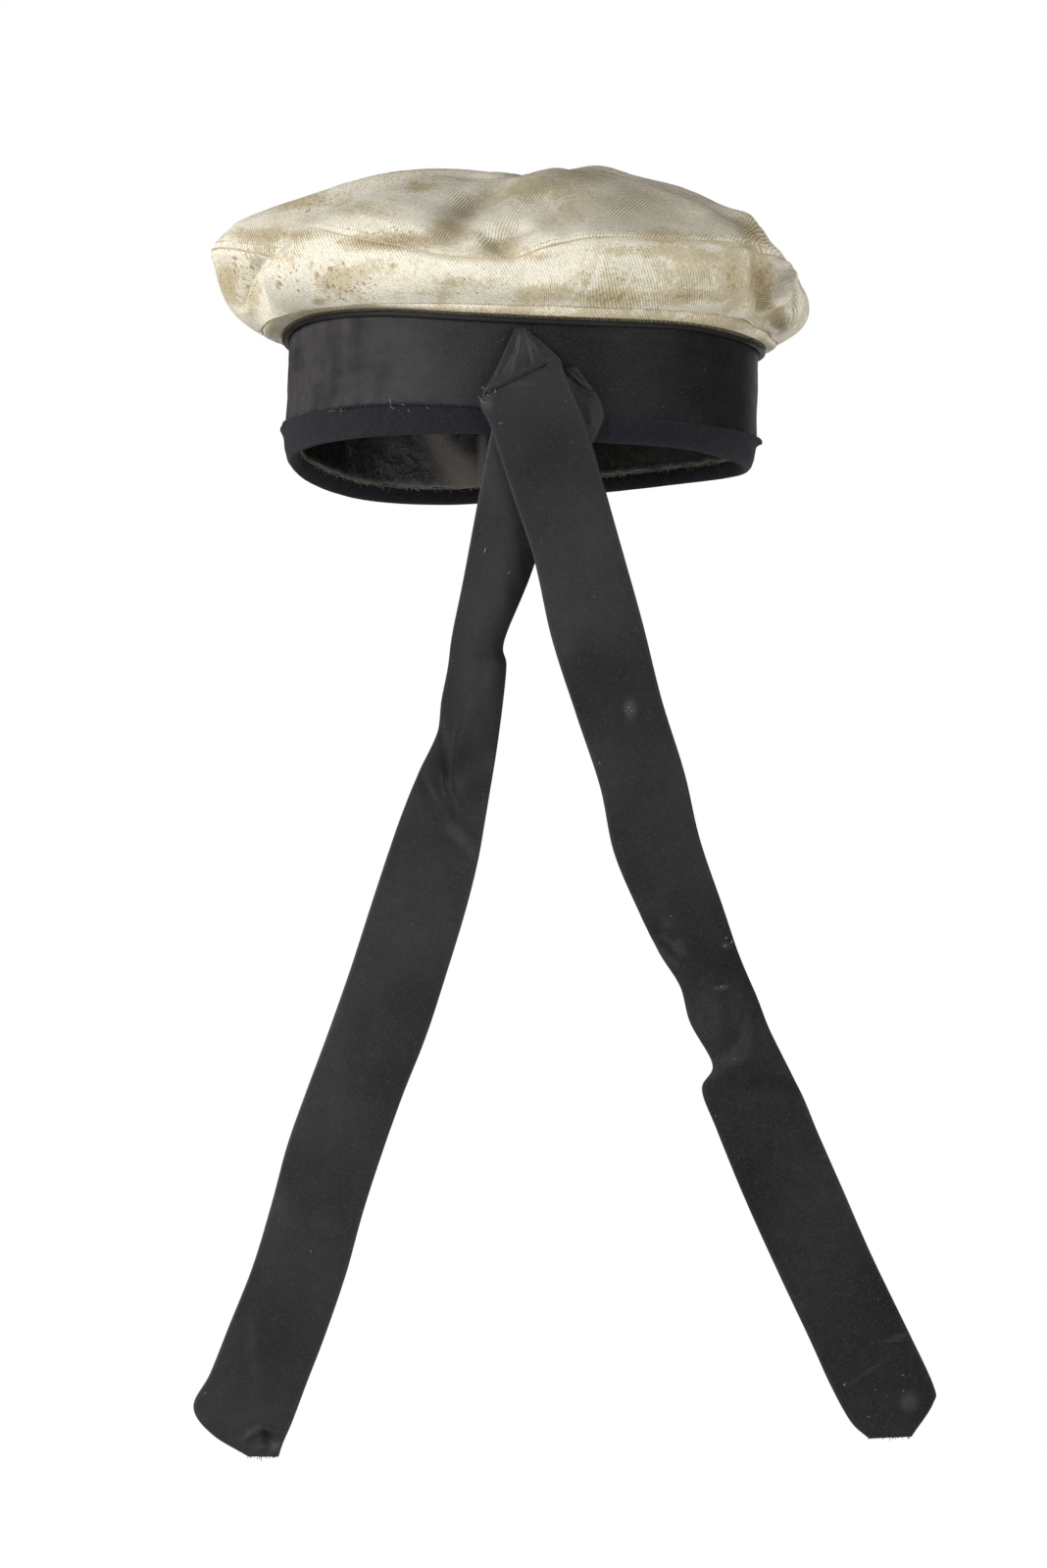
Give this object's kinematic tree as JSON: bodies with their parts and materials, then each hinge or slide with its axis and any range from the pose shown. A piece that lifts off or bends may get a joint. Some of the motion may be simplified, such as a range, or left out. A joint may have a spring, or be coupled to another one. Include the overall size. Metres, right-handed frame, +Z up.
{
  "type": "sailor cap",
  "caption": "Soft white sailor cap with a slumped crown over a black-ribboned wool band, and two long ribbon streamers hanging from the centre of the back.",
  "frame": {"origin": "centre of the head opening, in the plane of the lower rim", "axes": "+Z up through the crown, +Y towards the front of the cap, -Y towards the back where the streamers hang, +X to the right as seen from the back"},
  "size_m": [0.2831, 0.2249, 0.4983],
  "materials": {
    "cover_twill": "stained cotton twill",
    "welt_cloth": "matt wool cloth",
    "ribbon": "faded silk ribbon",
    "navy_wool": "napped wool cloth",
    "oilcloth": "glossy coated cloth, worn"
  },
  "bodies": {
    "root": {"cover_tip": "cover_twill", "cover_side_left": "cover_twill", "cover_side_right": "cover_twill", "cover_hem": "cover_twill", "band_welt": "welt_cloth", "band_ribbon": "ribbon", "headband_wool": "navy_wool", "sweatband": "oilcloth", "streamer_right": "ribbon", "streamer_left": "ribbon"}
  },
  "joints": []
}
